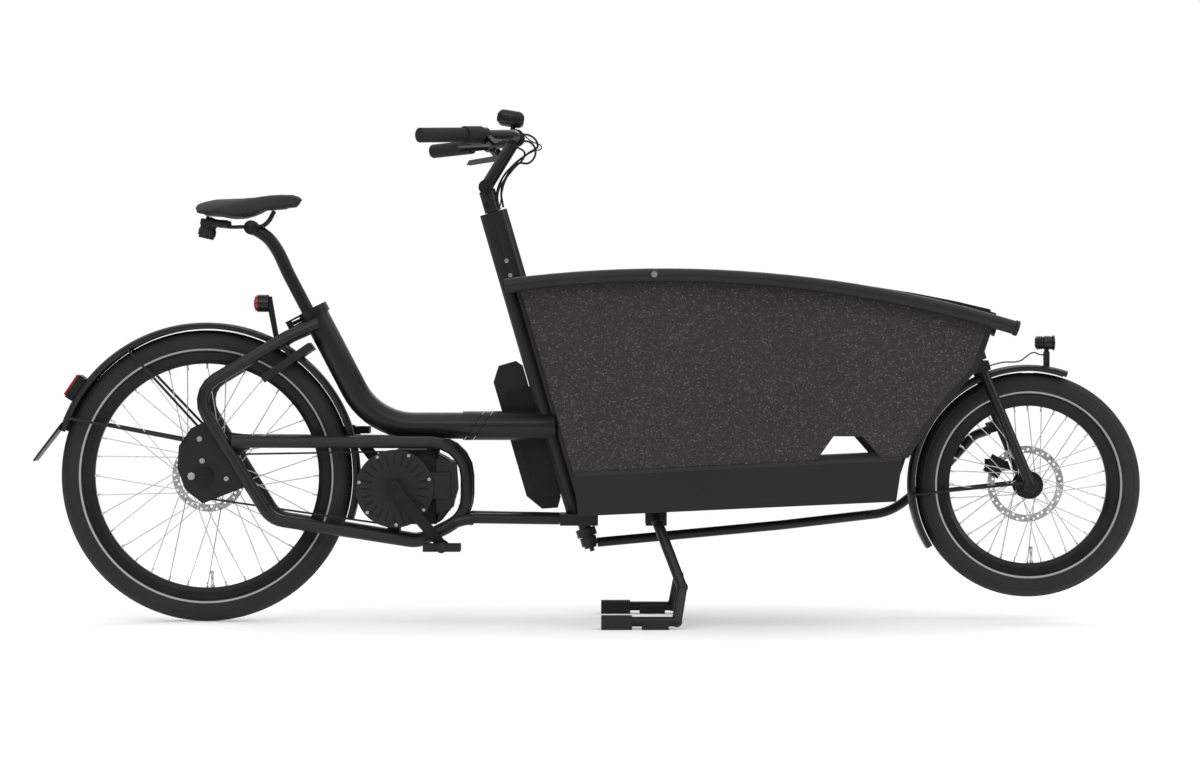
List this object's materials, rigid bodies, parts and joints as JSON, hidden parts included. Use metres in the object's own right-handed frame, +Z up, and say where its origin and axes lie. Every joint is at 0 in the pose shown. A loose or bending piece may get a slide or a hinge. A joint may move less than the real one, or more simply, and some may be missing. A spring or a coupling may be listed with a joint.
{
  "type": "cargo bicycle",
  "caption": "Front-loading electric cargo bicycle with a long foam box, linkage steering, belt drive, disc brakes and a wide folding stand.",
  "frame": {"origin": "on the ground under the centre of the whole bicycle's box, standing on its stand and rear tyre", "axes": "+X forward along the wheelbase, +Y to the rider's left, +Z up"},
  "size_m": [2.541, 0.7094, 1.1783],
  "materials": {
    "frame_black": "satin",
    "alloy_black": "matte",
    "motor_black": "satin",
    "floor_wood": "matte",
    "plastic_black": "matte",
    "tray_black": "satin",
    "foam_brown": "speckled bead foam",
    "tyre_rubber": "matte",
    "rubber_black": "matte",
    "steel_bare": "brushed",
    "saddle_skin": "matte",
    "lamp_red": "gloss",
    "lamp_body": "gloss"
  },
  "bodies": {
    "frame": {"main_tube": "frame_black", "left_loop": "frame_black", "right_loop": "frame_black", "rear_brackets": "frame_black", "rear_axle_set": "alloy_black", "coupling_sleeve": "frame_black", "front_tube": "frame_black", "lower_tubes": "frame_black", "head_rail": "frame_black", "battery": "plastic_black", "battery_cradle": "alloy_black", "motor_casing": "motor_black", "motor_cover": "plastic_black", "drive_belt": "rubber_black", "rear_caliper": "alloy_black", "rear_mudguard": "plastic_black", "rear_lamps": "lamp_red", "ring_lock": "plastic_black", "seat_collar": "alloy_black", "box_foam": "foam_brown", "box_rim": "plastic_black", "box_tray": "tray_black", "floor_panel": "floor_wood", "front_plate": "frame_black", "stand_bracket": "frame_black"},
    "rear_wheel": {"rear_tyre": "tyre_rubber", "rear_rim": "alloy_black", "rear_spokes": "steel_bare", "rear_hub": "alloy_black", "rear_disc": "steel_bare"},
    "rear_driver": {"rear_pulley": "steel_bare"},
    "crankset": {"cranks": "alloy_black"},
    "right_pedal": {"pedal_right": "plastic_black"},
    "left_pedal": {"pedal_left": "plastic_black"},
    "front_fork": {"fork": "frame_black", "front_axle_pin": "alloy_black", "front_caliper": "alloy_black", "front_mudguard": "plastic_black"},
    "front_wheel": {"front_tyre": "tyre_rubber", "front_rim": "alloy_black", "front_spokes": "steel_bare", "front_hub": "alloy_black", "front_disc": "steel_bare"},
    "lamp": {"headlight": "lamp_body"},
    "seat": {"seatpost": "frame_black", "saddle": "saddle_skin"},
    "seat_lever": {"collar_lever": "alloy_black"},
    "handlebars": {"steering_column": "frame_black", "stem": "frame_black", "handlebar": "frame_black", "lever_clamps": "alloy_black", "grips": "rubber_black", "display": "lamp_body", "control_cables": "rubber_black"},
    "shifter": {"twist_shifter": "rubber_black"},
    "right_brake": {"brake_lever_right": "alloy_black"},
    "left_brake": {"brake_lever_left": "alloy_black"},
    "steering_rod": {"tie_rod": "frame_black"},
    "stand": {"stand_legs": "frame_black", "stand_pads": "rubber_black"}
  },
  "joints": [
    {"name": "rear_wheel_spin", "type": "hinge", "parent": "frame", "child": "rear_wheel", "pos_m": [-0.8745, 0, 0.3345], "axis": [0, 1, 0], "continuous": true},
    {"name": "rear_driver_spin", "type": "hinge", "parent": "frame", "child": "rear_driver", "pos_m": [-0.8745, 0, 0.3345], "axis": [0, 1, 0], "continuous": true},
    {"name": "crank_spin", "type": "hinge", "parent": "frame", "child": "crankset", "pos_m": [-0.4395, 0, 0.307], "axis": [0, 1, 0], "continuous": true},
    {"name": "right_pedal_spin", "type": "hinge", "parent": "crankset", "child": "right_pedal", "pos_m": [-0.32799, 0, 0.17736], "axis": [0, 1, 0], "continuous": true},
    {"name": "left_pedal_spin", "type": "hinge", "parent": "crankset", "child": "left_pedal", "pos_m": [-0.55101, 0, 0.43664], "axis": [0, 1, 0], "continuous": true},
    {"name": "steering_turn", "type": "hinge", "parent": "frame", "child": "handlebars", "pos_m": [-0.0105, 0, 0.232], "axis": [-0.279, 0, 0.9603], "range_deg": [-30, 30]},
    {"name": "fork_turn", "type": "hinge", "parent": "frame", "child": "front_fork", "pos_m": [0.9035, 0, 0.572], "axis": [-0.279, 0, 0.9603], "range_deg": [-30, 30]},
    {"name": "front_wheel_spin", "type": "hinge", "parent": "front_fork", "child": "front_wheel", "pos_m": [1.0125, 0, 0.314], "axis": [0, 1, 0], "continuous": true},
    {"name": "steering_rod_swing", "type": "hinge", "parent": "handlebars", "child": "steering_rod", "pos_m": [0.00618, 0.095, 0.17457], "axis": [-0.279, 0, 0.9603], "range_deg": [-30, 30]},
    {"name": "headlight_tilt", "type": "hinge", "parent": "front_fork", "child": "lamp", "pos_m": [1.0555, 0, 0.6135], "axis": [0, 1, 0], "range_deg": [-12, 12]},
    {"name": "seat_height", "type": "slide", "parent": "frame", "child": "seat", "axis": [-0.4629, 0, 0.8864], "range_m": [-0.085, 0.02]},
    {"name": "seat_lever_open", "type": "hinge", "parent": "frame", "child": "seat_lever", "pos_m": [-0.68246, 0, 0.6793], "axis": [-0.4629, 0, 0.8864], "range_deg": [0, 90]},
    {"name": "shifter_twist", "type": "hinge", "parent": "handlebars", "child": "shifter", "pos_m": [-0.3655, -0.34, 1.098], "axis": [0.7277, 0.6845, 0.0432], "range_deg": [0, 150]},
    {"name": "right_brake_pull", "type": "hinge", "parent": "handlebars", "child": "right_brake", "pos_m": [-0.21119, -0.23439, 1.08438], "axis": [-0.3859, 0.4607, -0.7993], "range_deg": [0, 14], "stiffness_Nm_per_rad": 2},
    {"name": "left_brake_pull", "type": "hinge", "parent": "handlebars", "child": "left_brake", "pos_m": [-0.21119, 0.23439, 1.08438], "axis": [0.3859, 0.4607, 0.7993], "range_deg": [0, 14], "stiffness_Nm_per_rad": 2},
    {"name": "stand_fold", "type": "hinge", "parent": "frame", "child": "stand", "pos_m": [0.1575, 0, 0.237], "axis": [0, 1, 0], "range_deg": [0, 75]}
  ],
  "couplings": [
    {"joint": "rear_driver_spin", "follows": "crank_spin", "ratio": 1.7447},
    {"joint": "fork_turn", "follows": "steering_turn", "ratio": 1},
    {"joint": "steering_rod_swing", "follows": "steering_turn", "ratio": -1}
  ]
}
